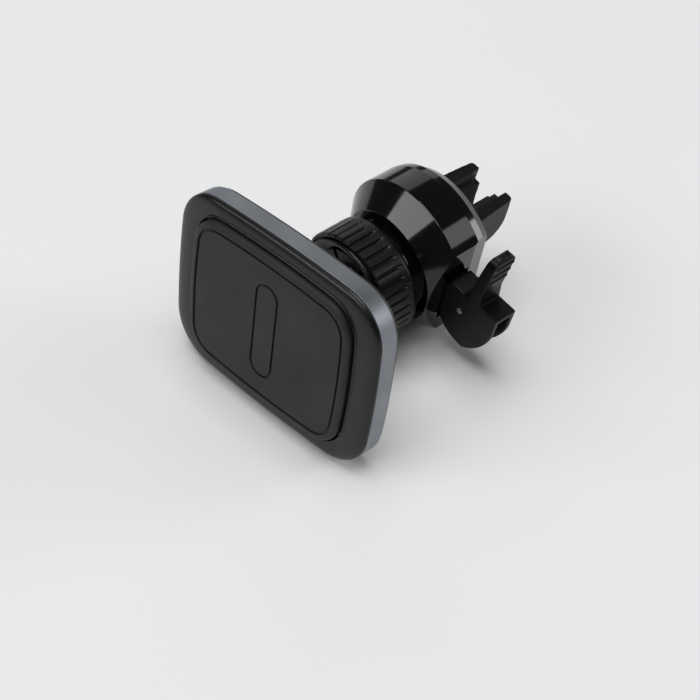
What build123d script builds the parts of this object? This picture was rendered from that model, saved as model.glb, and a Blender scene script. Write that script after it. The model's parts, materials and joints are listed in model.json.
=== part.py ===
from build123d import *
import os
from math import asin, atan2, cos, degrees, hypot, pi, radians, sin, sqrt

# A magnetic phone mount that clips on a car's air vent. A round clamp body carries two jaws at the
# back and a quarter-turn cam lever at its side. A ball joint at the front, held by a knurled nut,
# carries the magnetic plate that the phone sits on.
#
# Frame: +Z is up from the surface that the mount lies on, and +Y runs along the body's axis from the
# plate to the jaws. The origin is on that axis in the plane of the body's rear rim, where a vent's
# blade stops.

# ---- clamp body, turned about Y ----
body_radius = 19.1
body_length = 19.1
rear_radius = 17.25
rim_radius = 18.75           # where the band's taper turns into the rear chamfer
rim_depth = 2.2
rear_round_length = 4.1
ridge_depth = 7.6            # front of the body to the sharp ridge
cone_radius = 13.9
body_edge_round = 0.3
neck_radius = 11.4
neck_length = 2.0
front_wall = 6.0
cavity_radius = 14.9
cover_radius = 15.4
cover_thickness = 2.0
cover_gap = 0.1
cover_lap = 1.5              # cover seat beyond the cavity on the lever's side
boss_radius = 2.0
boss_half_pitch = 5.5
boss_heights = (12.3, -11.6)
cover_screw_radius = 1.0
cover_screw_reach = 6.0
cover_head_radius = 1.8
cover_head_height = 1.1
socket_screw_circle = 6.2
socket_screw_radius = 1.0
socket_head_radius = 1.8
socket_head_height = 1.2
recess_share = 0.45          # driver recess across a screw's head
recess_depth = 0.5

# ---- the clamp's own directions are rolled about Y ----
clamp_roll = 10.0
lever_flat = 14.0            # the side flat that the lever stands against
flat_taper = 1.3             # the flat leans in over its last stretch to the rear
flat_taper_length = 5.0
side_wall = 1.15
pocket_clearance = 0.4
pocket_z = (-8.2, 5.6)

# ---- jaws ----
jaw_outer = 7.9
jaw_tip_outer = 7.0
jaw_top = 10.0
jaw_bottom = -1.0
jaw_reach = 14.0
jaw_taper_start = 2.9
jaw_tip_round = 5.5
jaw_tip_slope = 0.7
jaw_nose_round = 1.0
liner_thickness = 1.1
vane_gap = 3.4
ledge_height = 7.7
ledge_half_gap = 3.4
liner_reach = 11.5
root_inner = 2.2
root_outer = 9.9
root_top = 9.0
root_bottom = -7.5
jaw_travel = 3.0

# ---- cam lever ----
lever_swing = 90.0
pin_x = 19.5
pin_radius = 0.75
cam_start = 7.1              # pin to the bearing plate, lever up
lever_width = 6.2
lever_front = 7.0            # front of the body to the lever's front face
cheek = 1.5                  # cam cheeks on each side of the rod's eye
shell_wall = 1.2
tab_corner_round = 2.4
rib_radius = 0.45
rib_pitch = 2.7
rib_count = 3
bearing_gap = 0.05
bearing_thickness = 0.8
tab_top = 22.6
tab_foot = (24.3, 10.7)      # lower and upper end of the tab's outer face
tab_brow = (25.8, 21.4)
tab_slope = (tab_brow[0] - tab_foot[0]) / (tab_brow[1] - tab_foot[1])
rib_bottom = 15.0
rib_inset = 0.6
hollow_x = 24.6              # the lug is moulded hollow, open to the side
hollow_bottom = -6.8
hollow_top = 5.5

# ---- rod, spring and guides ----
rod_radius = 1.5
eye_radius = 2.2
eye_thickness = 2.6
rod_end = 2.6                # rod beyond the far jaw's root
rod_nut_flats = 5.0
rod_nut_height = 2.2
spring_radius = 2.5
spring_wire = 0.35
spring_turns = 5.5
spring_stop = 7.5            # floor of the spring's pocket in the near jaw
spring_room = 0.8
guide_radius = 1.0
guide_offset = 5.5
guide_depth = 12.5           # front of the body to the guide pins
guide_half_length = 9.4
running_gap = 0.05
press_gap = 0.02
slip_gap = 0.1
head_gap = 0.15
free_gap = 0.3
beyond = 60.0                # further than any piece reaches, for cutters

# ---- ball joint and lock nut ----
ball_radius = 7.5
ball_depth = 6.5             # front of the body to the ball's centre
ball_gap = 0.08
nut_radius = 14.0
nut_length = 10.1
nut_lip = 0.5
nut_lip_radius = 12.6
nut_thread_radius = 10.6
nut_mouth_radius = 9.85
thread_length = 7.1
flute_radius = 0.5
flute_offset = 0.15
flute_end = 3.2              # front of the body to where the flutes stop
flute_count = 36
collet_radius = 10.5
collet_nose_radius = 9.7
collet_length = 9.5          # collet ahead of the body's front
collet_slots = 6
collet_slot = 1.2
collet_root = 1.2            # solid collar between the slots and the grip ring
ring_start = 2.3             # ball's centre to the grip ring
ring_width = 1.8
ring_outer = 9.0
spigot_radius = 8.5
spigot_length = 2.6
neck_stud_radius = 3.4
stud_pin_radius = 2.5
stud_root_radius = 4.4
stud_cone_length = 5.0
ball_flat = 6.6              # ball's centre to its flat front
pin_end = 3.0                # ball's centre to the end of the stud's pin
stud_screw_radius = 1.0
stud_screw_tip = -2.8
stud_head_radius = 3.0
stud_head_height = 1.6

# ---- magnetic plate, in its own directions: X across, Y into the plate, Z up ----
plate_half_width = 30.65
plate_half_height = 23.0
plate_corner_round = 11.0
side_bulge = 1.1
pad_half_width = 24.4
pad_half_height = 19.4
pad_corner_round = 8.0
pad_proud = 1.3
pad_recess = 0.9
pad_edge_round = 0.5
rim_rise = 0.45              # the bezel's flatter inner slope, then its steeper outer one
rim_insets = (4.6, 2.0)
bezel_depth = 1.8
band_depth = 4.5
cover_depth = 1.2
cover_inset = 0.5
band_wall = 1.6
plate_reach = 28.2           # ball centre to the plate's front
plate_yaw = 5.1
magnet_radius = 5.0
magnet_thickness = 2.2
keeper_thickness = 0.8
keeper_size = (44.0, 32.0, 4.0)
flange_radius = 8.5
flange_thickness = 1.2
neck_boss_radius = 9.5       # the cover's raised collar round the stud
neck_boss_top = 6.2
neck_boss_height = 3.4
head_screw_half_pitch = (22.5, 15.2)
head_boss_radius = 2.4
head_screw_radius = 0.9
head_head_radius = 1.8
head_head_height = 0.8
head_seat_depth = 1.0
groove_inset = 1.9
groove_width = 0.5
groove_depth = 0.4
pill_length = 25.0
pill_width = 7.0

front_y = -body_length       # world Y of the body's front face
axis_cam = front_y + 10.1    # world Y of the rod and the middle of the lever
guide_y = front_y + guide_depth
clamp = Rot(0, clamp_roll, 0)


def turned(points):
    """A solid of revolution about Y from its (radius, y) outline."""
    return revolve(make_face(Polyline(*points, close=True)), Axis.Y)


def rod_y(radius, y_low, y_high, x=0.0, z=0.0):
    """A round bar along Y."""
    bar = Cylinder(radius, y_high - y_low, align=(Align.CENTER, Align.CENTER, Align.MIN))
    return Pos(x, y_high, z) * Rot(90, 0, 0) * bar


def rod_x(radius, x_low, x_high, y=0.0, z=0.0):
    """A round bar along X."""
    bar = Cylinder(radius, x_high - x_low, align=(Align.CENTER, Align.CENTER, Align.MIN))
    return Pos(x_low, y, z) * Rot(0, 90, 0) * bar


def block(x_low, x_high, y_low, y_high, z_low, z_high):
    """A box between two corners."""
    size = (x_high - x_low, y_high - y_low, z_high - z_low)
    return Pos(x_low, y_low, z_low) * Box(*size, align=(Align.MIN, Align.MIN, Align.MIN))


def upright(sketch, y_front, y_back):
    """An (x, z) outline made solid between two depths."""
    return extrude(Plane.XZ.offset(-y_back) * sketch, amount=y_back - y_front)


def screw(y_head, y_tip, x, z, head_radius, head_height, shank_radius):
    """A pan head screw along Y, its head on the +Y side unless y_tip is behind it."""
    way = 1 if y_head > y_tip else -1
    head_end = y_head + way * head_height
    head = rod_y(head_radius, min(y_head, head_end), max(y_head, head_end), x, z)
    shank = rod_y(shank_radius, min(y_head, y_tip), max(y_head, y_tip), x, z)
    recess_floor = head_end - way * recess_depth
    recess_radius = head_radius * recess_share
    recess = rod_y(recess_radius, min(recess_floor, head_end), max(recess_floor, head_end), x, z)
    return head + shank - recess


def write(name, shape):
    export_step(shape, f"parts/{name}.step")


# ---------------------------------------------------------------- clamp body
cover_front = -cover_thickness - cover_gap
boss_places = [(side * boss_half_pitch, height) for side in (-1, 1) for height in boss_heights]
cavity_front = front_y + front_wall
pocket_floor = pin_x - cam_start - bearing_gap - bearing_thickness
pocket_y = (front_y + lever_front - pocket_clearance,
            front_y + lever_front + lever_width + pocket_clearance)
cavity_side = pocket_floor - side_wall
cover_side = cavity_side + cover_lap
bore = rod_radius + slip_gap
socket_screw_seat = cavity_front - socket_head_height - 2 * slip_gap


def socket_screw_places():
    for index in range(3):
        angle = radians(90 + 120 * index)
        yield socket_screw_circle * cos(angle), socket_screw_circle * sin(angle)


def make_housing():
    ridge_y = front_y + ridge_depth
    outline = [(0, front_y), (neck_radius, front_y), (neck_radius, front_y + neck_length)]
    outline += [(cone_radius, front_y + neck_length), (body_radius, ridge_y)]
    outline += [(body_radius, -rear_round_length)]
    outline += [(rim_radius, -rim_depth), (rear_radius, 0), (0, 0)]
    profile = make_face(Polyline(*outline, close=True))
    outer = [corner for corner in profile.vertices() if corner.X > neck_radius + 1]
    shell = clamp.inverse() * revolve(fillet(outer, body_edge_round), Axis.Y)
    shell -= block(lever_flat, beyond, front_y + neck_length, beyond, -beyond, beyond)
    taper = make_face(Polyline((lever_flat, -flat_taper_length), (lever_flat - flat_taper, 0),
                               (lever_flat - flat_taper, 1), (lever_flat, 1), close=True))
    shell -= Pos(0, 0, -beyond) * extrude(taper, amount=2 * beyond)
    cavity = rod_y(cavity_radius, cavity_front, 1)
    cavity &= block(-beyond, cavity_side, -beyond, beyond, -beyond, beyond)
    for x, z in boss_places:
        cavity -= rod_y(boss_radius, cavity_front, 1, x, z)
    cover_seat = rod_y(cover_radius + cover_gap, cover_front, 1)
    cover_seat &= block(-beyond, cover_side + cover_gap, -beyond, beyond, -beyond, beyond)
    shell -= cavity + cover_seat
    shell -= block(pocket_floor, beyond, *pocket_y, *pocket_z)
    shell -= rod_x(bore, 0, beyond, axis_cam)
    for x, z in boss_places:
        shell -= rod_y(cover_screw_radius, cover_front - cover_screw_reach - 2 * slip_gap, 1, x, z)
    shell -= rod_y(spigot_radius + press_gap, front_y - 1, front_y + spigot_length + slip_gap)
    for x, z in socket_screw_places():
        shell -= rod_y(socket_screw_radius + slip_gap, front_y, cavity_front, x, z)
        shell -= rod_y(socket_head_radius + head_gap, socket_screw_seat, cavity_front, x, z)
    return shell


def make_rear_cover():
    cover = rod_y(cover_radius, cover_front, -cover_gap)
    cover &= block(-beyond, cover_side, -beyond, beyond, -beyond, beyond)
    slot_x = (-jaw_outer - free_gap, jaw_outer + running_gap)
    cover -= block(*slot_x, -beyond, beyond, jaw_bottom - free_gap, jaw_top + free_gap)
    for x, z in boss_places:
        cover -= rod_y(cover_screw_radius + slip_gap, -beyond, beyond, x, z)
        cover -= rod_y(cover_head_radius + head_gap, -cover_gap - cover_head_height, beyond, x, z)
    return cover


def make_rear_screws():
    head_seat = -cover_gap - cover_head_height
    return [screw(head_seat, cover_front - cover_screw_reach, x, z, cover_head_radius,
                  cover_head_height - slip_gap, cover_screw_radius) for x, z in boss_places]


# ---------------------------------------------------------------- jaws and liners
def jaw_side(inset=0.0):
    """The fin seen from the side, (y, z), with its rounded lower front corner."""
    tip = jaw_reach - inset
    lower = jaw_bottom + inset
    top = jaw_top
    start = cover_front
    knee = (tip - jaw_tip_slope, lower + jaw_tip_round)
    heel = (knee[0] - jaw_tip_round, lower)
    middle = (knee[0] - jaw_tip_round * (1 - cos(pi / 4)), lower + jaw_tip_round * (1 - sin(pi / 4)))
    edges = Polyline(heel, (start, lower), (start, top), (tip, top), knee)
    edges += ThreePointArc(knee, middle, heel)
    return make_face(edges)


def make_jaw(slides):
    """The jaw on the +X side, or its sliding twin, which a mirror turns to the -X side."""
    inner_low = vane_gap / 2 + liner_thickness
    inner_high = ledge_half_gap + liner_thickness
    shelf = ledge_height - liner_thickness
    fin = extrude(Plane.YZ * jaw_side(), amount=jaw_outer)
    plan = make_face(Polyline((inner_low, cover_front), (jaw_outer, cover_front),
                              (jaw_outer, jaw_taper_start), (jaw_tip_outer, jaw_reach),
                              (inner_low, jaw_reach), close=True))
    plan = fillet([corner for corner in plan.vertices() if corner.Y > jaw_reach - 1], jaw_nose_round)
    fin &= Pos(0, 0, -beyond) * extrude(plan, amount=2 * beyond)
    fin -= block(0, inner_high, -beyond, beyond, shelf, beyond)
    near_wall = cavity_front if not slides else cavity_front + free_gap
    back = cover_front if not slides else cover_front - 2 * slip_gap
    root = block(root_inner, root_outer, near_wall, back, root_bottom, root_top)
    fin += block(inner_low, jaw_outer, back - 0.5, cover_front + 0.5, jaw_bottom, root_top)
    jaw = root + fin
    grip = bore if not slides else rod_radius + press_gap
    jaw -= rod_x(grip, 0, beyond, axis_cam)
    if not slides:
        jaw -= rod_x(spring_radius + spring_room, 0, spring_stop, axis_cam)
    for side in (-1, 1):
        slack = running_gap if slides else 0.0
        jaw -= rod_x(guide_radius + slack, 0, beyond, guide_y, side * guide_offset)
    return mirror(jaw, Plane.YZ) if slides else jaw


def make_liner():
    """The rubber facing of the +X jaw: a tall face, a ledge and a short upper face."""
    low = vane_gap / 2
    shelf = ledge_height - liner_thickness
    high = ledge_half_gap + liner_thickness
    section = Polyline((low, -beyond), (low, ledge_height), (ledge_half_gap, ledge_height),
                       (ledge_half_gap, beyond), (high, beyond), (high, shelf),
                       (low + liner_thickness, shelf), (low + liner_thickness, -beyond), close=True)
    facing = upright(make_face(section), free_gap, liner_reach)
    return facing & extrude(Plane.YZ * jaw_side(slip_gap), amount=beyond)


def make_guide_pins():
    return [rod_x(guide_radius, -guide_half_length, guide_half_length, guide_y, side * guide_offset)
            for side in (-1, 1)]


def make_spring():
    ends = (-root_inner + spring_wire + running_gap, spring_stop - spring_wire - running_gap)
    height = ends[1] - ends[0]
    path = Helix(height / spring_turns, height, spring_radius)
    wire = sweep(Plane(path @ 0, z_dir=path % 0) * Circle(spring_wire), path, is_frenet=True)
    return Pos(ends[0], axis_cam, 0) * Rot(0, 90, 0) * wire


# ---------------------------------------------------------------- rod, lever and bearing
def make_tie_rod():
    rod = rod_x(rod_radius, -root_outer - rod_end, pin_x, axis_cam)
    eye = rod_y(eye_radius, axis_cam - eye_thickness / 2, axis_cam + eye_thickness / 2, pin_x)
    hole = rod_y(pin_radius + running_gap, -beyond, beyond, pin_x)
    return rod + eye - hole


def make_rod_nut():
    hexagon = RegularPolygon(rod_nut_flats / 2, 6, major_radius=False)
    body = Pos(-root_outer - rod_nut_height, axis_cam, 0) * Rot(0, 90, 0)
    bore_cut = rod_x(rod_radius + press_gap, -beyond, 0, axis_cam)
    return body * extrude(hexagon, amount=rod_nut_height) - bore_cut


def cam_point(angle):
    """The cam's edge: the involute whose distance to a flat bearing grows evenly as the lever turns."""
    growth = jaw_travel / radians(lever_swing)
    reach = cam_start + growth * angle
    return (pin_x - reach * cos(angle) + growth * sin(angle), -reach * sin(angle) - growth * cos(angle))


def make_lever():
    steps = 8
    cam_edge = Spline([cam_point(radians(lever_swing) * step / steps) for step in range(steps + 1)])
    cam_end = cam_point(radians(lever_swing))
    dwell_end = (cam_end[0] + 1.4, cam_end[1])
    lug_low = (29.5, 0.5)
    shoulder = (lever_flat + 0.3, 4.84)
    bearing_top = (pin_x - cam_start, 0)
    outline = cam_edge + Line(cam_end, dwell_end) + ThreePointArc(dwell_end, (27.2, -5.5), lug_low)
    outline += Polyline(lug_low, (29.9, 6.8), (24.5, 6.6), tab_foot, tab_brow)
    outline += ThreePointArc(tab_brow, (24.9, tab_top), (23.3, 21.6))
    outline += Polyline((23.3, 21.6), (21.7, 13.5), (21.2, 8.2))
    outline += ThreePointArc((21.2, 8.2), (20.6, 6.8), (19.2, 6.1))
    outline += Polyline((19.2, 6.1), (15.3, 6.1), shoulder)
    outline += ThreePointArc(shoulder, (pin_x - cam_start * cos(0.4), cam_start * sin(0.4)), bearing_top)
    outline += Line(bearing_top, cam_point(0))
    front = front_y + lever_front
    back = front + lever_width
    lever = upright(make_face(outline), front, back)
    eye_room = eye_radius + free_gap
    slot = block(0, pin_x + eye_room, front + cheek, back - cheek, -beyond, eye_room)
    hollow = block(hollow_x, beyond, front + shell_wall, back - shell_wall, hollow_bottom, hollow_top)
    lever -= slot + hollow
    lever -= rod_y(pin_radius, -beyond, beyond, pin_x)
    face_view = RectangleRounded(lever_width, 2 * tab_top, tab_corner_round)
    lever &= extrude(Plane.YZ * Pos(front + lever_width / 2, 0) * face_view, amount=beyond)
    for index in range(rib_count):
        height = rib_bottom + rib_pitch * index
        edge_x = tab_foot[0] + (height - tab_foot[1]) * tab_slope
        lever += rod_y(rib_radius, front + rib_inset, back - rib_inset, edge_x, height)
    return lever


def make_cam_washer():
    face = pocket_floor + bearing_thickness
    front = front_y + lever_front
    margin = pocket_clearance / 2
    plate = block(pocket_floor, face, front - margin, front + lever_width + margin,
                  pocket_z[0] + free_gap, pocket_z[1] - free_gap)
    return plate - rod_x(bore, 0, beyond, axis_cam)


def make_lever_pin():
    front = front_y + lever_front
    return rod_y(pin_radius, front - slip_gap, front + lever_width + slip_gap, pin_x)


# ---------------------------------------------------------------- ball joint
ball_y = front_y - ball_depth
collet_front = front_y - collet_length
ring_front = ball_y + ring_start
ring_back = ring_front + ring_width


def make_socket():
    cavity = ball_radius + ball_gap
    mouth = (sqrt(cavity ** 2 - (collet_front - ball_y) ** 2), collet_front)
    floor = (0, ball_y + cavity)
    outline = Polyline(mouth, (collet_nose_radius, collet_front),
                       (collet_nose_radius, front_y - thread_length - 1.1),
                       (collet_radius, front_y - thread_length - slip_gap),
                       (collet_radius, front_y), (spigot_radius, front_y),
                       (spigot_radius, front_y + spigot_length), (0, front_y + spigot_length), floor)
    outline += ThreePointArc(floor, (cavity, ball_y), mouth)
    socket = revolve(make_face(outline), Axis.Y)
    socket -= rod_y(ring_outer + running_gap, ring_front - running_gap, ring_back + running_gap)
    for index in range(collet_slots):
        slot = block(-collet_slot / 2, collet_slot / 2, collet_front - 1, ring_front - collet_root,
                     stud_pin_radius, beyond)
        socket -= Rot(0, 360 / collet_slots * (index + 0.5), 0) * slot
    for x, z in socket_screw_places():
        socket -= clamp * rod_y(socket_screw_radius, front_y - free_gap, cavity_front, x, z)
    return socket


def make_grip_ring():
    ring = rod_y(ring_outer, ring_front, ring_back)
    return ring - Pos(0, ball_y, 0) * Sphere(ball_radius + ball_gap)


def make_socket_screws():
    tip = front_y - 2 * slip_gap
    return [screw(socket_screw_seat, tip, x, z, socket_head_radius, socket_head_height, socket_screw_radius)
            for x, z in socket_screw_places()]


def make_lock_nut():
    front = front_y - nut_length
    outline = [(nut_thread_radius, front_y - 0.25), (nut_thread_radius, front_y - thread_length),
               (nut_mouth_radius, front_y - thread_length - 1.0),
               (nut_mouth_radius, front_y - thread_length - 1.7), (11.9, front - nut_lip),
               (nut_lip_radius, front - nut_lip), (nut_lip_radius + 0.1, front + 0.5), (13.1, front + 0.5),
               (13.3, front), (nut_radius - 0.2, front), (nut_radius, front + 0.3),
               (nut_radius, front_y - 2.4), (nut_radius - 0.45, front_y - 1.1),
               (nut_radius - 1.6, front_y - 0.25)]
    nut = turned(outline)
    flute = rod_y(flute_radius, front - 1, front_y - flute_end, nut_radius + flute_offset)
    nut -= [Rot(0, 360 / flute_count * index, 0) * flute for index in range(flute_count)]
    return nut


# The plate's parts are drawn with the ball's centre at the origin and the plate's front at -Y.
def make_ball():
    ball = Sphere(ball_radius)
    ball -= block(-beyond, beyond, -beyond, -ball_flat, -beyond, beyond)
    ball -= rod_y(stud_pin_radius + press_gap, -beyond, beyond)
    return ball - rod_y(stud_head_radius + free_gap, pin_end + running_gap, beyond)


def make_ball_stud():
    flange_back = back_face - cover_depth
    collar = -ball_flat - slip_gap
    outline = [(0, flange_back - flange_thickness), (flange_radius, flange_back - flange_thickness),
               (flange_radius, flange_back), (stud_root_radius, flange_back),
               (neck_stud_radius, flange_back + stud_cone_length), (neck_stud_radius, collar),
               (stud_pin_radius, collar), (stud_pin_radius, pin_end), (0, pin_end)]
    return turned(outline) - rod_y(stud_screw_radius, stud_screw_tip - 2 * slip_gap, beyond)


def make_stud_screw():
    return screw(pin_end + slip_gap, stud_screw_tip, 0, 0, stud_head_radius, stud_head_height,
                 stud_screw_radius)


# ---------------------------------------------------------------- magnetic plate
plate_front = -plate_reach
bezel_back = plate_front + bezel_depth
band_back = bezel_back + band_depth
back_face = band_back + cover_depth
boss_meet = band_back - 1.35
overlap = 0.2                # bosses start this far inside the wall that they stand on
head_screw_places = [(x * head_screw_half_pitch[0], z * head_screw_half_pitch[1])
                     for x in (-1, 1) for z in (-1, 1)]


def rounded_plate(half_width, half_height, corner_round):
    """A rectangle with gently bulged sides and round corners, as an (x, z) outline."""
    corner_x = half_width - side_bulge
    corner_z = half_height - side_bulge
    edges = ThreePointArc((corner_x, -corner_z), (half_width, 0), (corner_x, corner_z))
    edges += ThreePointArc((corner_x, corner_z), (0, half_height), (-corner_x, corner_z))
    edges += ThreePointArc((-corner_x, corner_z), (-half_width, 0), (-corner_x, -corner_z))
    edges += ThreePointArc((-corner_x, -corner_z), (0, -half_height), (corner_x, -corner_z))
    face = make_face(edges)
    return fillet(face.vertices(), corner_round)


def plate_outline(inset):
    return rounded_plate(plate_half_width - inset, plate_half_height - inset, plate_corner_round - inset)


def pad_outline(growth):
    return rounded_plate(pad_half_width + growth, pad_half_height + growth, pad_corner_round + growth)


def make_pad():
    front = plate_front - pad_proud
    pad = upright(pad_outline(0), front, plate_front + pad_recess)
    pad = fillet([edge for edge in pad.edges() if edge.bounding_box().max.Y < front + 0.01], pad_edge_round)
    groove = pad_outline(-groove_inset) - pad_outline(-groove_inset - groove_width)
    pill = SlotOverall(pill_length, pill_width, rotation=90)
    pill -= SlotOverall(pill_length - 2 * groove_width, pill_width - 2 * groove_width, rotation=90)
    return pad - upright(groove + pill, front - 1, front + groove_depth)


def make_bezel():
    rim_plane = Plane.XZ.offset(-plate_front - rim_rise)
    outer = loft([Plane.XZ.offset(-plate_front) * plate_outline(rim_insets[0]),
                  rim_plane * plate_outline(rim_insets[1])], ruled=True)
    outer += loft([rim_plane * plate_outline(rim_insets[1]),
                   Plane.XZ.offset(-bezel_back) * plate_outline(0)], ruled=True)
    outer -= upright(pad_outline(running_gap), plate_front - 1, plate_front + pad_recess)
    for x, z in head_screw_places:
        outer += rod_y(head_boss_radius, bezel_back - overlap, boss_meet - running_gap, x, z)
        outer -= rod_y(head_screw_radius, bezel_back - 2 * overlap, band_back, x, z)
    return outer


def make_trim_band():
    hollow = upright(plate_outline(band_wall), -beyond, beyond)
    return upright(plate_outline(0), bezel_back, band_back) - hollow


def make_back_cover():
    cover = upright(plate_outline(cover_inset), band_back, back_face)
    foot = back_face - overlap
    top = back_face + neck_boss_height
    cover += turned([(0, foot), (neck_boss_radius, foot), (neck_boss_top, top), (0, top)])
    root = stud_root_radius + running_gap
    neck = neck_stud_radius + running_gap
    cover -= turned([(0, band_back - 1), (root, band_back - 1), (root, band_back),
                     (neck, band_back + stud_cone_length), (neck, 0), (0, 0)])
    for x, z in head_screw_places:
        cover += rod_y(head_boss_radius, boss_meet, foot, x, z)
        cover -= rod_y(head_screw_radius + head_gap, -beyond, 0, x, z)
        cover -= rod_y(head_head_radius + head_gap, back_face - head_seat_depth, 0, x, z)
    return cover


def make_magnets():
    places = [(x, z) for x in (-14.0, 0.0, 14.0) for z in (-9.0, 9.0)]
    front = bezel_back + running_gap
    return [rod_y(magnet_radius, front, bezel_back + magnet_thickness, x, z) for x, z in places]


def make_magnet_plate():
    front = bezel_back + magnet_thickness + press_gap
    keeper = RectangleRounded(*keeper_size)
    keeper -= [Pos(x, z) * Circle(head_boss_radius + free_gap) for x, z in head_screw_places]
    return upright(keeper, front, front + keeper_thickness)


def make_head_screws():
    seat = back_face - head_seat_depth
    tip = bezel_back + 2 * slip_gap
    return [screw(seat, tip, x, z, head_head_radius, head_head_height, head_screw_radius)
            for x, z in head_screw_places]


# ---------------------------------------------------------------- places
# The plate leans back until the rear edge of its trim band rests on the surface below the body.
edge_reach = plate_reach - bezel_depth - band_depth
plate_lean = degrees(atan2(plate_half_height, edge_reach)
                     - asin(body_radius / hypot(plate_half_height, edge_reach)))
head = Pos(0, ball_y, 0) * Rot(0, 0, plate_yaw) * Rot(-plate_lean, 0, 0)

os.makedirs("parts", exist_ok=True)

for name, shape in {
    "housing": make_housing(),
    "rear_cover": make_rear_cover(),
    "jaw_near": make_jaw(slides=False),
    "jaw_far": make_jaw(slides=True),
    "liner_near": make_liner(),
    "liner_far": mirror(make_liner(), Plane.YZ),
    "tie_rod": make_tie_rod(),
    "rod_nut": make_rod_nut(),
    "release_spring": make_spring(),
    "cam_lever": make_lever(),
    "lever_pin": make_lever_pin(),
    "cam_washer": make_cam_washer(),
}.items():
    write(name, clamp * shape)

write("rear_screws", Compound([clamp * piece for piece in make_rear_screws()]))
write("guide_pins", Compound([clamp * piece for piece in make_guide_pins()]))
write("socket_screws", Compound([clamp * piece for piece in make_socket_screws()]))
write("socket", make_socket())
write("grip_ring", make_grip_ring())
write("lock_nut", make_lock_nut())

for name, shape in {
    "ball": make_ball(),
    "ball_stud": make_ball_stud(),
    "stud_screw": make_stud_screw(),
    "pad": make_pad(),
    "front_bezel": make_bezel(),
    "trim_band": make_trim_band(),
    "back_cover": make_back_cover(),
    "magnets": Compound(make_magnets()),
    "magnet_plate": make_magnet_plate(),
    "head_screws": Compound(make_head_screws()),
}.items():
    write(name, head * shape)
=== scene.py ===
import json
import math

import bmesh
import bpy
from mathutils import Matrix, Vector


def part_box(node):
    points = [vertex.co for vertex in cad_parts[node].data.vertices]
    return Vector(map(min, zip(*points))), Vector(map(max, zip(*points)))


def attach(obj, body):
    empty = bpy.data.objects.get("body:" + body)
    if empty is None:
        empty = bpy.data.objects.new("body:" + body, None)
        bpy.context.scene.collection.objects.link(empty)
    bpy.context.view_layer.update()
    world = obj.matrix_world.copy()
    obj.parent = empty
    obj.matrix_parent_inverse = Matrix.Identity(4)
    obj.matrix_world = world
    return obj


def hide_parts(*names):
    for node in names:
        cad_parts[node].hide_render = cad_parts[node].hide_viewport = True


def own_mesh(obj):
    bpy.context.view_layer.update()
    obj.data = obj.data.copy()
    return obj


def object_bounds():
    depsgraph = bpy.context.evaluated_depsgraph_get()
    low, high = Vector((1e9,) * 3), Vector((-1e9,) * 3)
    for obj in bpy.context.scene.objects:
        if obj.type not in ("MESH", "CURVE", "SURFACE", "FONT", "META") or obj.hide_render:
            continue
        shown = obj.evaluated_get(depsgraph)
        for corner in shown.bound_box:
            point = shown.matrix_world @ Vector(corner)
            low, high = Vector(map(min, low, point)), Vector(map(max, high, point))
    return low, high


# A magnetic vent mount on a pale table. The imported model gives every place; the shapes below redraw
# the pieces that show, with their real rounds, grooves and ribs.

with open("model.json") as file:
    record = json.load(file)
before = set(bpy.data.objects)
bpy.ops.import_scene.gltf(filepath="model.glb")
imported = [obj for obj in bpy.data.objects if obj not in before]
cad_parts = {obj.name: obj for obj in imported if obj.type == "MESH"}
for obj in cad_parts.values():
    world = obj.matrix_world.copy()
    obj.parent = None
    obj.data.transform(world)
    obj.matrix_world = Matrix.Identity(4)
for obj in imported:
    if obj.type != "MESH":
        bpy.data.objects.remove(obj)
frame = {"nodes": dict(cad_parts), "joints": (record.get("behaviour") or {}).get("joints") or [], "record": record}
cad_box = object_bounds()
record = frame["record"]
nodes = frame["nodes"]
joints = {joint["name"]: joint for joint in frame["joints"]}
slot_of = {part["node"]: part["material_slot"] for part in record["subparts"]}
body_of = {node: body for body, members in record["behaviour"]["bodies"].items() for node in members}
MM = 0.001                            # the shapes below are in millimetres

# ------------------------------------------------------------------ directions taken from the joints
ball = Vector(joints["plate_spin"]["pos_m"])
face_normal = Vector(joints["plate_spin"]["axis"])
plate_right = Vector((0, 0, 1)).cross(face_normal).normalized() * -1
plate_up = face_normal.cross(plate_right)


def plate_matrix():
    """Plate's own directions: X across, Y into the plate, Z up, with the ball at the origin."""
    turn = Matrix((plate_right, -face_normal, plate_up)).transposed().to_4x4()
    return Matrix.Translation(ball) @ turn


PLATE = plate_matrix()

# ------------------------------------------------------------------ materials
NOISE_LOW, NOISE_HIGH = 0.3, 0.7      # the part of a noise's range that most of its values fill
DARKEST, LIGHTEST = 0.8, 1.25         # how far a plastic's colour varies
MOTTLE, HANDLING, WAVES = 60, 90, 120     # noise scales, per metre, of colour, gloss and slow waviness


def new_material(name):
    material = bpy.data.materials.new(name)
    material.use_nodes = True
    tree = material.node_tree
    shader = tree.nodes["Principled BSDF"]
    where = tree.nodes.new("ShaderNodeTexCoord")
    return material, tree, shader, where


def noise(tree, where, scale, detail=4.0, rough=0.5, stretch=(1, 1, 1)):
    mapping = tree.nodes.new("ShaderNodeMapping")
    mapping.inputs["Scale"].default_value = stretch
    tree.links.new(where.outputs["Object"], mapping.inputs["Vector"])
    node = tree.nodes.new("ShaderNodeTexNoise")
    node.inputs["Scale"].default_value = scale
    node.inputs["Detail"].default_value = detail
    node.inputs["Roughness"].default_value = rough
    tree.links.new(mapping.outputs["Vector"], node.inputs["Vector"])
    return node.outputs["Fac"]


def spread(tree, value, low, high):
    """A noise's value, stretched to run from low to high."""
    node = tree.nodes.new("ShaderNodeMapRange")
    node.inputs["From Min"].default_value = NOISE_LOW
    node.inputs["From Max"].default_value = NOISE_HIGH
    node.inputs["To Min"].default_value = low
    node.inputs["To Max"].default_value = high
    tree.links.new(value, node.inputs["Value"])
    return node.outputs["Result"]


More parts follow.
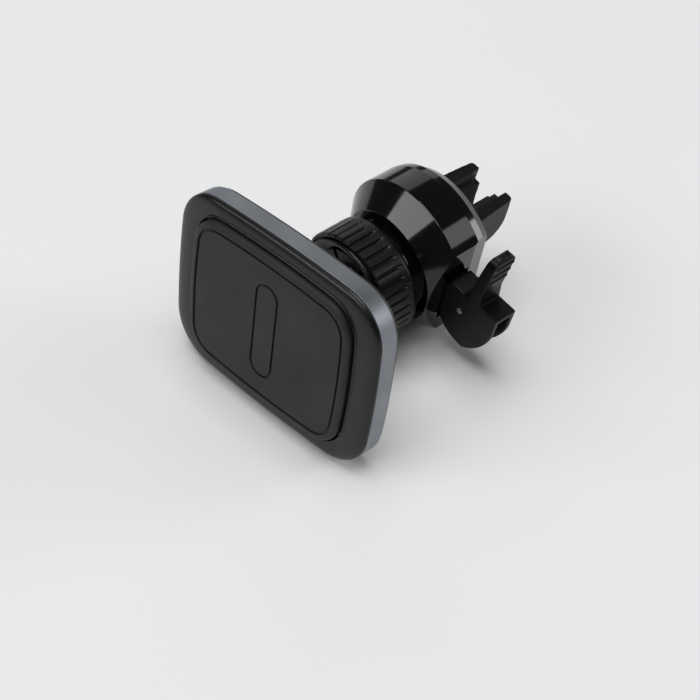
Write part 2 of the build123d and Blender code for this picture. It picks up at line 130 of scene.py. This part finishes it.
def tint(tree, value, dark, light):
    """A colour that a noise's value moves from dark to light."""
    node = tree.nodes.new("ShaderNodeValToRGB")
    node.color_ramp.elements[0].position = NOISE_LOW
    node.color_ramp.elements[1].position = NOISE_HIGH
    node.color_ramp.elements[0].color = (*dark, 1)
    node.color_ramp.elements[1].color = (*light, 1)
    tree.links.new(value, node.inputs["Fac"])
    return node.outputs["Color"]


def bump(tree, shader, height, distance, below=None):
    """Relief of a depth in metres, laid over the bump node below it."""
    node = tree.nodes.new("ShaderNodeBump")
    node.inputs["Distance"].default_value = distance
    node.inputs["Strength"].default_value = 1.0
    tree.links.new(height, node.inputs["Height"])
    if below is not None:
        tree.links.new(below.outputs["Normal"], node.inputs["Normal"])
    tree.links.new(node.outputs["Normal"], shader.inputs["Normal"])
    return node


def plastic(name, colour, rough, grain, wave_depth=0.0, metallic=0.0, shine=0.5):
    """Moulded plastic: fine grain (scale, depth in mm), faint waviness, and gloss that varies a little."""
    material, tree, shader, where = new_material(name)
    dark = [DARKEST * part for part in colour]
    light = [LIGHTEST * part for part in colour]
    tree.links.new(tint(tree, noise(tree, where, MOTTLE), dark, light), shader.inputs["Base Color"])
    handled = noise(tree, where, HANDLING, 6, 0.6)
    tree.links.new(spread(tree, handled, *rough), shader.inputs["Roughness"])
    shader.inputs["Metallic"].default_value = metallic
    shader.inputs["Specular IOR Level"].default_value = shine
    below = None
    if wave_depth:
        below = bump(tree, shader, noise(tree, where, WAVES, 2), wave_depth * MM)
    grain_scale, grain_depth = grain
    bump(tree, shader, noise(tree, where, grain_scale, 3, 0.6), grain_depth * MM, below)
    return material


def steel(name, colour, rough):
    """Bare metal with fine lines from turning or rolling."""
    stain_scale, scratch_scale, scratch_depth = 300, 2500, 0.004
    material, tree, shader, where = new_material(name)
    shader.inputs["Metallic"].default_value = 1.0
    dull = [part * 0.85 for part in colour]
    tree.links.new(tint(tree, noise(tree, where, stain_scale), dull, colour), shader.inputs["Base Color"])
    lines = noise(tree, where, scratch_scale, 3, 0.5, (1, 0.08, 1))
    tree.links.new(spread(tree, lines, *rough), shader.inputs["Roughness"])
    bump(tree, shader, lines, scratch_depth * MM)
    return material


MATERIALS = {
    "pad": plastic("pad_rubber", (0.014, 0.014, 0.0145), (0.50, 0.62), (2600, 0.035), shine=0.38),
    "bezel": plastic("bezel_satin", (0.003, 0.003, 0.0034), (0.29, 0.36), (5000, 0.003), shine=0.4),
    "trim": plastic("trim_gunmetal", (0.225, 0.24, 0.262), (0.4, 0.5), (9000, 0.006), metallic=0.9),
    "cover": plastic("cover_satin", (0.007, 0.007, 0.0075), (0.38, 0.5), (6000, 0.015)),
    "body": plastic("body_gloss", (0.0022, 0.0022, 0.0025), (0.07, 0.12), (4000, 0.0006), wave_depth=0.004),
    "nut": plastic("nut_satin", (0.002, 0.002, 0.0022), (0.26, 0.36), (6000, 0.004), shine=0.28),
    "mechanism": plastic("lever_satin", (0.002, 0.002, 0.0022), (0.34, 0.46), (5200, 0.012), shine=0.2),
    "ball": plastic("ball_polished", (0.006, 0.006, 0.006), (0.12, 0.2), (4000, 0.001)),
    "rubber": plastic("liner_rubber", (0.006, 0.006, 0.006), (0.7, 0.85), (7000, 0.02), shine=0.3),
    "steel": steel("steel_bright", (0.50, 0.49, 0.48), (0.22, 0.36)),
    "magnet": steel("magnet_nickel", (0.70, 0.68, 0.64), (0.12, 0.22)),
}


def finish_mesh(mesh, slot):
    mesh.materials.clear()
    mesh.materials.append(MATERIALS[slot])


for node, carried in nodes.items():
    finish_mesh(carried.data, slot_of[node])


# ------------------------------------------------------------------ shape helpers (millimetres)
def rounded(corners, steps=5, closed=True):
    """A dense outline through (x, y, radius) corners, each corner an arc of its radius."""
    most_of_side = 0.49
    points = []
    count = len(corners)
    for index, (x, y, radius) in enumerate(corners):
        here = Vector((x, y))
        is_end = not closed and index in (0, count - 1)
        if radius == 0 or is_end:
            points.append(here)
            continue
        before = Vector(corners[index - 1][:2]) - here
        after = Vector(corners[(index + 1) % count][:2]) - here
        half = before.angle(after) / 2
        reach = min(radius / math.tan(half), most_of_side * before.length, most_of_side * after.length)
        radius = reach * math.tan(half)
        centre = here + (before.normalized() + after.normalized()).normalized() * (radius / math.sin(half))
        first = here + before.normalized() * reach - centre
        last = here + after.normalized() * reach - centre
        sweep = first.angle(last)
        for step in range(steps + 1):
            t = step / steps
            arm = (first * math.sin((1 - t) * sweep) + last * math.sin(t * sweep)) / math.sin(sweep)
            points.append(centre + arm)
    return points


def bulged(half_width, half_height, bulge, corner, inset):
    """A rectangle with bowed sides and round corners, moved in by an inset: (x, z) points from +X round."""
    per_side, per_corner = 14, 20
    side = ((half_height - bulge) ** 2 + bulge ** 2) / (2 * bulge)
    top = ((half_width - bulge) ** 2 + bulge ** 2) / (2 * bulge)
    side_centre = Vector((half_width - side, 0))
    top_centre = Vector((0, half_height - top))
    apart = top_centre - side_centre
    side_reach, top_reach = side - corner, top - corner
    along = (side_reach ** 2 - top_reach ** 2 + apart.length_squared) / (2 * apart.length)
    away = math.sqrt(max(side_reach ** 2 - along ** 2, 0))
    unit = apart.normalized()
    middle = side_centre + unit * along
    options = [middle + Vector((unit.y, -unit.x)) * away * way for way in (1, -1)]
    corner_centre = max(options, key=lambda option: option.x + option.y)
    low_angle = math.atan2(corner_centre.y, corner_centre.x - side_centre.x)
    high_angle = math.atan2(corner_centre.y - top_centre.y, corner_centre.x)
    arcs = ((side_centre, side, 0, low_angle, per_side),
            (corner_centre, corner, low_angle, high_angle, per_corner),
            (top_centre, top, high_angle, math.pi / 2, per_side))
    quarter = []
    for centre, radius, first, last, steps in arcs:
        for step in range(steps):
            angle = first + (last - first) * step / steps
            quarter.append(centre + (radius - inset) * Vector((math.cos(angle), math.sin(angle))))
    peak = Vector((0, half_height - inset))
    mirrored = [Vector((-p.x, p.y)) for p in reversed(quarter[1:])]
    upper = quarter + [peak] + mirrored
    left = Vector((-quarter[0].x, 0))
    lower = [Vector((p.x, -p.y)) for p in reversed(upper[1:])]
    return upper + [left] + lower


def stadium(width, length, count):
    """An upright stadium as (x, z) points from +X round."""
    radius = width / 2
    straight = length / 2 - radius
    around = 4 * straight + 2 * math.pi * radius
    points = []
    for index in range(count):
        s = around * index / count
        if s <= straight:
            points.append(Vector((radius, s)))
        elif s <= straight + math.pi * radius:
            angle = (s - straight) / radius
            points.append(Vector((radius * math.cos(angle), straight + radius * math.sin(angle))))
        elif s <= 3 * straight + math.pi * radius:
            points.append(Vector((-radius, straight - (s - straight - math.pi * radius))))
        elif s <= 3 * straight + 2 * math.pi * radius:
            angle = math.pi + (s - 3 * straight - math.pi * radius) / radius
            points.append(Vector((radius * math.cos(angle), -straight + radius * math.sin(angle))))
        else:
            points.append(Vector((radius, s - around)))
    return points


def circle(radius, count):
    return [Vector((radius * math.cos(2 * math.pi * i / count), radius * math.sin(2 * math.pi * i / count)))
            for i in range(count)]


def rings_to_mesh(name, rings, loops=False, capped=False):
    """Skins equal rings of 3D points, in millimetres. loops joins the last ring to the first."""
    build = bmesh.new()
    rows = [[build.verts.new(point * MM) for point in ring] for ring in rings]
    pairs = list(zip(rows, rows[1:])) + ([(rows[-1], rows[0])] if loops else [])
    for first, second in pairs:
        count = len(first)
        for index in range(count):
            after = (index + 1) % count
            build.faces.new((first[index], first[after], second[after], second[index]))
    if capped:
        build.faces.new(rows[0])
        build.faces.new(rows[-1])
    bmesh.ops.recalc_face_normals(build, faces=build.faces)
    mesh = bpy.data.meshes.new(name)
    build.to_mesh(mesh)
    build.free()
    return mesh


# ------------------------------------------------------------------ pieces
SHARP = 32.0                          # degrees: an edge sharper than this isn't shaded smooth


def placed(name, data):
    thing = bpy.data.objects.new(name, data)
    bpy.context.scene.collection.objects.link(thing)
    return thing


def applied(piece):
    """A piece's mesh with its modifiers in it."""
    graph = bpy.context.evaluated_depsgraph_get()
    return bpy.data.meshes.new_from_object(piece.evaluated_get(graph))


def settle(piece, angle=SHARP):
    """Applies a piece's modifiers, then shades it smooth except across edges sharper than the angle."""
    baked = applied(piece)
    piece.modifiers.clear()
    piece.data = baked
    baked.shade_smooth()
    baked.set_sharp_from_angle(angle=math.radians(angle))
    weighted = piece.modifiers.new("weighted", "WEIGHTED_NORMAL")
    weighted.keep_sharp = True
    weighted.weight = 80


def add_piece(name, mesh, body, slot, replaced=(), matrix=None, angle=SHARP):
    """Puts a finished mesh in the scene, on its body, with its material."""
    if matrix is not None:
        mesh.transform(matrix)
    finish_mesh(mesh, slot)
    piece = placed(name, mesh)
    settle(piece, angle)
    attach(piece, body)
    if replaced:
        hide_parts(*replaced)


def stand_for(piece, node, body):
    """Puts a redrawn node on its body, in place of the CAD node and with its material."""
    finish_mesh(piece.data, slot_of[node])
    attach(piece, body)
    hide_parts(node)


def softened(node, width):
    """A CAD node redrawn with the small rounds that a moulded or turned piece has on its edges."""
    weld, flat_within, rounded_from = 0.002, 0.6, 28.0
    mesh = nodes[node].data.copy()
    build = bmesh.new()
    build.from_mesh(mesh)
    bmesh.ops.remove_doubles(build, verts=build.verts, dist=weld * MM)
    bmesh.ops.dissolve_limit(build, angle_limit=math.radians(flat_within),
                             verts=build.verts, edges=build.edges)
    build.to_mesh(mesh)
    build.free()
    piece = placed(node + "_soft", mesh)
    bevel = piece.modifiers.new("rounds", "BEVEL")
    bevel.width = width * MM
    bevel.segments = 3
    bevel.limit_method = "ANGLE"
    bevel.angle_limit = math.radians(rounded_from)
    bevel.use_clamp_overlap = True
    bevel.miter_outer = "MITER_ARC"
    settle(piece)
    stand_for(piece, node, body_of[node])


def moulded(node, voxel, passes):
    """A CAD node redrawn as moulded plastic: a fine skin over it, eased until its edges are round."""
    kept_share, sharp = 0.35, 60.0
    piece = placed(node + "_moulded", nodes[node].data.copy())
    skin = piece.modifiers.new("skin", "REMESH")
    skin.mode = "VOXEL"
    skin.voxel_size = voxel * MM
    ease = piece.modifiers.new("ease", "SMOOTH")
    ease.factor = 0.5
    ease.iterations = passes
    thin = piece.modifiers.new("thin", "DECIMATE")
    thin.ratio = kept_share
    settle(piece, sharp)
    stand_for(piece, node, body_of[node])


def make_spring():
    """The release spring: the CAD coil copied onto the clamp body with its material, with a mesh of its own."""
    piece = placed("spring_coil", nodes["release_spring"].data.copy())
    settle(piece)
    stand_for(piece, "release_spring", "clamp_body")
    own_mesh(piece)


# ------------------------------------------------------------------ magnetic plate
HALF_W, HALF_H, BULGE, CORNER = 30.61, 22.95, 1.1, 11.0
PAD_W, PAD_H, PAD_CORNER = 24.4, 19.4, 8.0
PROUD = 1.3                           # how far the pad's face stands ahead of the bezel's lip
face_mount = next(m for m in record["mounts"] if m["name"] == "phone_face")
REACH = (Vector(face_mount["pos_m"]) - ball).dot(face_normal) / MM - PROUD
BAND_FRONT, BAND_BACK, COVER_BACK = 1.8, 6.3, 7.5     # depths behind the bezel's lip
PLATE_SHARP, COVER_SHARP = 40, 36     # degrees
LEAD = 0.05                           # short straight piece before a round

RIM_GAP, RIM_DROP, RIM_WIDTH = 0.18, 0.85, 1.65       # the pad's round edge
PAD_FOOT = 0.9                        # depth of the pad's foot behind the lip
EDGE_LINE = (1.75, 0.75, 0.4)         # inset, width and depth of the line near the pad's edge
PILL_W, PILL_H = 7.0, 25.0
PILL_LINE = (0.7, 0.45)               # width and depth of the line round the pill

LIP_GAP, LIP_WIDTH = 0.2, 0.75        # the bezel's lip, out from the pad's outline
LIP_PROFILE = ((LIP_GAP, 0.2), (0.24, 0.08), (0.32, 0.02), (0.42, 0.0),
               (LIP_WIDTH - 0.22, 0.03), (LIP_WIDTH - 0.1, 0.14), (LIP_WIDTH, 0.26))
SLOPE_START, SLOPE_FALL = 0.24, BAND_FRONT - 0.3      # depth where the bezel's slope starts, and its fall
SLOPE_BOW = (0.9, 0.8)                # how round the slope is, across and in depth
BEZEL_EDGE = ((0.02, -0.06), (0.08, -0.01), (2.0, -0.02))     # inset, and depth from the band's front

SEAM = 0.04                           # fine gap on each side of the band
BAND_WALL = 1.6
BAND_FRONT_ROUND, BAND_BACK_ROUND = (0.05, 0.08), (0.25, 0.25)

COVER_SEAM = 0.02
COVER_WALL_FOOT, COVER_INSET = 1.2, 0.5
COVER_EDGE = (0.8, 0.7)               # width and depth of the cover's round edge
SCREW_X, SCREW_Z = 22.5, 15.2
HEAD_HOLE, SHANK_HOLE = 1.95, 1.05    # radii
HEAD_SEAT, HOLE_CHAMFER = 1.0, 0.3    # depths into the cover
CUT_ABOVE, CUT_INSIDE = 0.5, 2.0      # how far the cutters reach past the cover on each side
# (radius, height above the cover, round): the boss that the stud comes out of, and its bore
BOSS = ((10.4, 0.0, 0), (9.3, 0.0, 1.2), (6.6, 3.4, 0.7), (3.55, 3.4, 0.2), (3.55, 1.0, 0))


def at_depth(outline, depth):
    """An (x, z) outline at a depth behind the bezel's lip."""
    return [Vector((point.x, depth - REACH, point.y)) for point in outline]


def plate_ring(inset, depth):
    return at_depth(bulged(HALF_W, HALF_H, BULGE, CORNER, inset), depth)


def pad_ring(inset, depth):
    return at_depth(bulged(PAD_W, PAD_H, BULGE, PAD_CORNER, inset), depth)


def arc_steps(inset_from, depth_from, inset_to, depth_to, steps):
    """(inset, depth) pairs round a quarter ellipse that leaves along the depth and ends along the face."""
    for step in range(steps + 1):
        t = step / steps * math.pi / 2
        yield (inset_from + (inset_to - inset_from) * (1 - math.cos(t)),
               depth_from + (depth_to - depth_from) * math.sin(t))


def groove_steps(inset, width, deep, surface):
    """(inset, depth) pairs down one side of a shallow line groove and up the other."""
    edge, wall, fall = 0.06, 0.12, 0.05
    yield inset, surface
    yield inset + edge, surface + fall
    yield inset + wall, surface + deep
    yield inset + width - wall, surface + deep
    yield inset + width - edge, surface + fall
    yield inset + width, surface


def make_pad():
    surface = -PROUD
    rings = [pad_ring(RIM_GAP, PAD_FOOT), pad_ring(RIM_GAP, surface + RIM_DROP + LEAD)]
    rings += [pad_ring(*step) for step in arc_steps(RIM_GAP, surface + RIM_DROP, RIM_WIDTH, surface, 9)]
    rings += [pad_ring(*step) for step in groove_steps(*EDGE_LINE, surface)]
    count = len(rings[0])
    for narrower, depth in groove_steps(0.0, *PILL_LINE, surface):
        rings.append(at_depth(stadium(PILL_W - 2 * narrower, PILL_H - 2 * narrower, count), depth))
    mesh = rings_to_mesh("pad_face", rings, capped=True)
    add_piece("pad_face", mesh, "plate", "pad", ("pad",), PLATE, PLATE_SHARP)


def make_bezel():
    slope_steps = 14
    across, deep = SLOPE_BOW
    rings = [pad_ring(-LIP_GAP, PAD_FOOT - LEAD)]
    rings += [pad_ring(-outset, depth) for outset, depth in LIP_PROFILE]
    lip, outer = pad_ring(-LIP_WIDTH, 0.0), plate_ring(0.0, 0.0)
    for step in range(1, slope_steps + 1):
        t = step / slope_steps * math.pi / 2
        fall = Vector((0, SLOPE_START + SLOPE_FALL * (1 - math.cos(t) ** deep), 0))
        rings.append([a.lerp(b, math.sin(t) ** across) + fall for a, b in zip(lip, outer)])
    rings += [plate_ring(inset, BAND_FRONT + past) for inset, past in BEZEL_EDGE]
    rings += [pad_ring(-LIP_GAP, PAD_FOOT)]
    mesh = rings_to_mesh("bezel_shell", rings, loops=True)
    add_piece("bezel_shell", mesh, "plate", "bezel", ("front_bezel",), PLATE, PLATE_SHARP)


def make_band():
    front, back = BAND_FRONT + SEAM, BAND_BACK - SEAM
    narrow, short = BAND_FRONT_ROUND
    rings = [plate_ring(*step) for step in arc_steps(narrow, front, 0.0, front + short, 3)]
    narrow, short = BAND_BACK_ROUND
    rings += [plate_ring(0.0, back - short - LEAD)]
    rings += [plate_ring(*step) for step in arc_steps(0.0, back - short, narrow, back, 4)]
    rings += [plate_ring(BAND_WALL, back), plate_ring(BAND_WALL, front)]
    mesh = rings_to_mesh("band_ring", rings, loops=True)
    add_piece("band_ring", mesh, "plate", "trim", ("trim_band",), PLATE, PLATE_SHARP)


def with_recesses(mesh):
    """The back shell's mesh with a stepped, chamfered hole for each of its four screws."""
    around, pinpoint = 40, 0.02
    above, seat, inside = COVER_BACK + CUT_ABOVE, COVER_BACK - HEAD_SEAT, BAND_BACK - CUT_INSIDE
    mouth = HEAD_HOLE + HOLE_CHAMFER + CUT_ABOVE
    profile = ((pinpoint, above), (mouth, above), (HEAD_HOLE, COVER_BACK - HOLE_CHAMFER), (HEAD_HOLE, seat),
               (SHANK_HOLE, seat), (SHANK_HOLE, inside), (pinpoint, inside))
    shell = placed("shell_work", mesh)
    work = [shell]
    for x in (-SCREW_X, SCREW_X):
        for z in (-SCREW_Z, SCREW_Z):
            rings = [[Vector((x + point.x, point.y, z + point.z))
                      for point in at_depth(circle(radius, around), depth)] for radius, depth in profile]
            cutter = placed("cutter_work", rings_to_mesh("cutter_work", rings, capped=True))
            cut = shell.modifiers.new("cut", "BOOLEAN")
            cut.operation = "DIFFERENCE"
            cut.solver = "EXACT"
            cut.object = cutter
            work.append(cutter)
    baked = applied(shell)
    for piece in work:
        bpy.data.objects.remove(piece)
    return baked


def make_back():
    front = BAND_BACK + COVER_SEAM
    edge_width, edge_depth = COVER_EDGE
    rings = [plate_ring(COVER_WALL_FOOT, front), plate_ring(COVER_INSET, front),
             plate_ring(COVER_INSET, COVER_BACK - edge_depth - 2 * LEAD)]
    rings += [plate_ring(*step) for step in arc_steps(COVER_INSET, COVER_BACK - edge_depth,
                                                      COVER_INSET + edge_width, COVER_BACK, 6)]
    count = len(rings[0])
    boss = rounded([(radius, COVER_BACK + height, fillet) for radius, height, fillet in BOSS], closed=False)
    rings += [at_depth(circle(point.x, count), point.y) for point in boss]
    mesh = with_recesses(rings_to_mesh("back_shell", rings, capped=True))
    add_piece("back_shell", mesh, "plate", "cover", ("back_cover",), PLATE, COVER_SHARP)


# ------------------------------------------------------------------ lock nut, turned about Y
BODY_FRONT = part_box("housing")[0].y / MM
NUT_R, NUT_LEN, NUT_SHARP = 14.0, 10.1, 34
NUT_FRONT = BODY_FRONT - NUT_LEN
NUT_GAP = 0.25                        # between the nut and the body
FLUTES = 36
GROOVE_SHARE, GROOVE_DEPTH = 0.16, 0.55
GROOVE_END, GROOVE_FADE = 2.6, 1.2    # where the grooves end, from the body, and the length they fade over
RIB_CROWN = 0.05
BORE_R, MOUTH_R = 10.6, 9.9
BORE_END, MOUTH_START, RINGS_START = 7.1, 8.1, 8.7    # distances from the body
RING_STEPS, RING_PITCH = 5, 0.36      # fine rings that open towards the nut's front
RING_DRAFT, RING_LEAN = 0.03, 0.05    # how far each ring's wall and face slope
PIP_PLACE = 2.2                       # the pips' distance from the body
PIP_R, PIP_HEIGHT, PIP_SUNK = 0.34, 0.2, 0.06
# (radius, distance behind the nut's front, round): the lip, the groove round it, the front's outer edge
FRONT_PROFILE = ((12.0, -0.5, 0.12), (12.6, -0.5, 0.12), (12.75, 0.6, 0.1), (13.05, 0.6, 0.1),
                 (13.25, 0.0, 0.1), (NUT_R, 0.0, 0.3))
SIDE_START, SIDE_STEP, SIDE_POINTS = 0.3, 0.45, 17    # points along the side, so that the grooves can fade
# (radius, distance from the body, round): the nut's rear shoulder
REAR_PROFILE = ((NUT_R, 2.4, 0), (NUT_R, 1.6, 0.8), (NUT_R - 0.5, 0.9, 0.6), (NUT_R - 1.6, NUT_GAP, 0.2),
                (11.6, NUT_GAP, 0))


def flute(radius, y, angle):
    """A point's radius once the thin grooves are cut, with the ribs slightly crowned between them."""
    side_only, start_length = 0.5, 0.3
    if radius < NUT_R - side_only:
        return radius
    fade = min(max((BODY_FRONT - GROOVE_END - y) / GROOVE_FADE, 0.0), 1.0)
    start = min(max((y - NUT_FRONT + start_length) / start_length, 0.0), 1.0)
    turn = (angle / (2 * math.pi) * FLUTES) % 1.0 - 0.5
    groove = max(0.0, 1 - (turn / GROOVE_SHARE) ** 2) ** 0.7
    crown = RIB_CROWN * (2 * turn) ** 2
    return radius - (GROOVE_DEPTH * groove + RIB_CROWN - crown) * fade * start


def flute_angles():
    """Angles round the nut, close together across each groove."""
    steps = [-0.5, -0.34, -0.22, -0.17, -0.14, -0.1, -0.06, -0.02, 0.02, 0.06, 0.1, 0.14, 0.17, 0.22, 0.34]
    return [2 * math.pi * (index + 0.5 + step) / FLUTES for index in range(FLUTES) for step in steps]


def nut_profile():
    """(radius, y) points round the nut's section, from the bore's rear end forwards and back outside."""
    outline = [(BORE_R, BODY_FRONT - NUT_GAP, 0.1), (BORE_R, BODY_FRONT - BORE_END, 0),
               (MOUTH_R, BODY_FRONT - MOUTH_START, 0), (MOUTH_R, BODY_FRONT - RINGS_START, 0.08)]
    for step in range(RING_STEPS):
        radius = MOUTH_R + RING_PITCH * (step + 1)
        outline += [(radius - RING_DRAFT, BODY_FRONT - RINGS_START - RING_PITCH * step, 0.06),
                    (radius, BODY_FRONT - RINGS_START - RING_LEAN - RING_PITCH * (step + 1), 0.07)]
    outline += [(radius, NUT_FRONT + behind, fillet) for radius, behind, fillet in FRONT_PROFILE]
    rear = [(radius, BODY_FRONT - gap, fillet) for radius, gap, fillet in REAR_PROFILE]
    side = [Vector((NUT_R, NUT_FRONT + SIDE_START + SIDE_STEP * step)) for step in range(SIDE_POINTS)]
    return rounded(outline, 3)[:-1] + side + rounded(rear, 4, closed=False)


def make_nut():
    rings = []
    for point in nut_profile():
        turned = [(flute(point.x, point.y, angle), angle) for angle in flute_angles()]
        rings.append([Vector((radius * math.cos(angle), point.y, radius * math.sin(angle)))
                      for radius, angle in turned])
    mesh = rings_to_mesh("nut_ring", rings, loops=True)
    add_piece("nut_ring", mesh, "nut", "nut", ("lock_nut",), None, NUT_SHARP)


def make_nut_pips():
    """Small raised dots round the nut's smooth band, one at every second rib."""
    build = bmesh.new()
    for index in range(FLUTES // 2):
        angle = 2 * math.pi * (2 * index + 0.5) / FLUTES
        outward = Vector((math.cos(angle), 0, math.sin(angle)))
        place = outward * (NUT_R - PIP_SUNK) * MM
        place.y = (BODY_FRONT - PIP_PLACE) * MM
        turn = outward.to_track_quat("Z", "Y").to_matrix().to_4x4()
        size = Matrix.Diagonal((PIP_R * MM, PIP_R * MM, PIP_HEIGHT * MM, 1))
        bmesh.ops.create_icosphere(build, subdivisions=3, radius=1.0,
                                   matrix=Matrix.Translation(place) @ turn @ size)
    mesh = bpy.data.meshes.new("nut_pips")
    build.to_mesh(mesh)
    build.free()
    add_piece("nut_pips", mesh, "nut", "nut")


make_pad()
make_bezel()
make_band()
make_back()
make_nut()
make_nut_pips()

# ------------------------------------------------------------------ CAD nodes redrawn with round edges
MOULDED = {"cam_lever": (0.13, 14), "jaw_near": (0.15, 12), "jaw_far": (0.15, 12),
           "liner_near": (0.12, 3), "liner_far": (0.12, 3)}           # voxel in mm, passes of smoothing
SOFTENED = {"rear_cover": 0.15, "socket": 0.15, "ball_stud": 0.15, "tie_rod": 0.1,
            "cam_washer": 0.1, "rod_nut": 0.15, "lever_pin": 0.12}    # width of the rounds in mm
for node, (voxel, passes) in MOULDED.items():
    moulded(node, voxel, passes)
for node, width in SOFTENED.items():
    softened(node, width)
make_spring()

# ------------------------------------------------------------------ table, lights and camera
TABLE_HALF = 6.0                      # metres
TABLE_GAP = 0.02                      # mm below the lowest point
TABLE_DARK, TABLE_LIGHT = (0.87, 0.87, 0.872), (0.885, 0.885, 0.887)
SKY, SKY_STRENGTH = (0.93, 0.95, 1.0), 0.08


def make_table():
    half = TABLE_HALF
    mesh = bpy.data.meshes.new("table")
    corners = [(-half, -half, 0), (half, -half, 0), (half, half, 0), (-half, half, 0)]
    mesh.from_pydata(corners, [], [(0, 1, 2, 3)])
    table = placed("table", mesh)
    table.location.z = cad_box[0].z - TABLE_GAP * MM
    material, tree, shader, where = new_material("table_pale")
    tree.links.new(tint(tree, noise(tree, where, 4), TABLE_DARK, TABLE_LIGHT), shader.inputs["Base Color"])
    shader.inputs["Roughness"].default_value = 0.6
    shader.inputs["Specular IOR Level"].default_value = 0.3
    bump(tree, shader, noise(tree, where, 900, 3), 0.01 * MM)
    mesh.materials.append(material)


def towards(azimuth, elevation):
    """The unit direction from the object to a place at that azimuth and elevation."""
    a, e = math.radians(azimuth), math.radians(elevation)
    return Vector((math.sin(a) * math.cos(e), -math.cos(a) * math.cos(e), math.sin(e)))


def aim(holder, target, azimuth, elevation, distance):
    """Puts a lamp or camera at a place round a target, facing it."""
    back = towards(azimuth, elevation)
    holder.location = Vector(target) + back * distance
    holder.rotation_mode = "QUATERNION"
    holder.rotation_quaternion = back.to_track_quat("Z", "Y")


def softbox(name, azimuth, elevation, distance, wide, tall, radiance):
    """A lamp panel of a size and distance in metres that looks as bright as its radiance."""
    data = bpy.data.lights.new(name, "AREA")
    data.shape = "RECTANGLE"
    data.size = wide
    data.size_y = tall
    data.energy = radiance * math.pi * wide * tall
    aim(placed(name, data), (0, 0, 0), azimuth, elevation, distance)


def make_camera(azimuth, elevation, target, distance, lens):
    data = bpy.data.cameras.new("camera")
    data.lens = lens
    data.sensor_width = 36.0
    data.clip_start = 0.01
    camera = placed("camera", data)
    aim(camera, target, azimuth, elevation, distance)
    bpy.context.scene.camera = camera


def make_world():
    world = bpy.data.worlds.new("studio")
    world.use_nodes = True
    background = world.node_tree.nodes["Background"]
    background.inputs["Color"].default_value = (*SKY, 1)
    background.inputs["Strength"].default_value = SKY_STRENGTH
    bpy.context.scene.world = world


make_table()
make_world()
softbox("front_left", -18, 34, 1.6, 1.3, 0.48, 4.0)
softbox("back_right", 130, 33, 1.6, 0.45, 0.6, 2.0)
softbox("back_left", -122, 26, 1.6, 1.2, 0.9, 0.8)
softbox("behind", 153, 16, 1.6, 0.7, 0.5, 6.0)
softbox("overhead", 0, 89, 1.8, 1.35, 1.35, 3.7)
make_camera(49.9, 46.4, (15.1 * MM, -40.8 * MM, 0), 313.6 * MM, 74.45)
bpy.context.scene.view_settings.view_transform = "Standard"
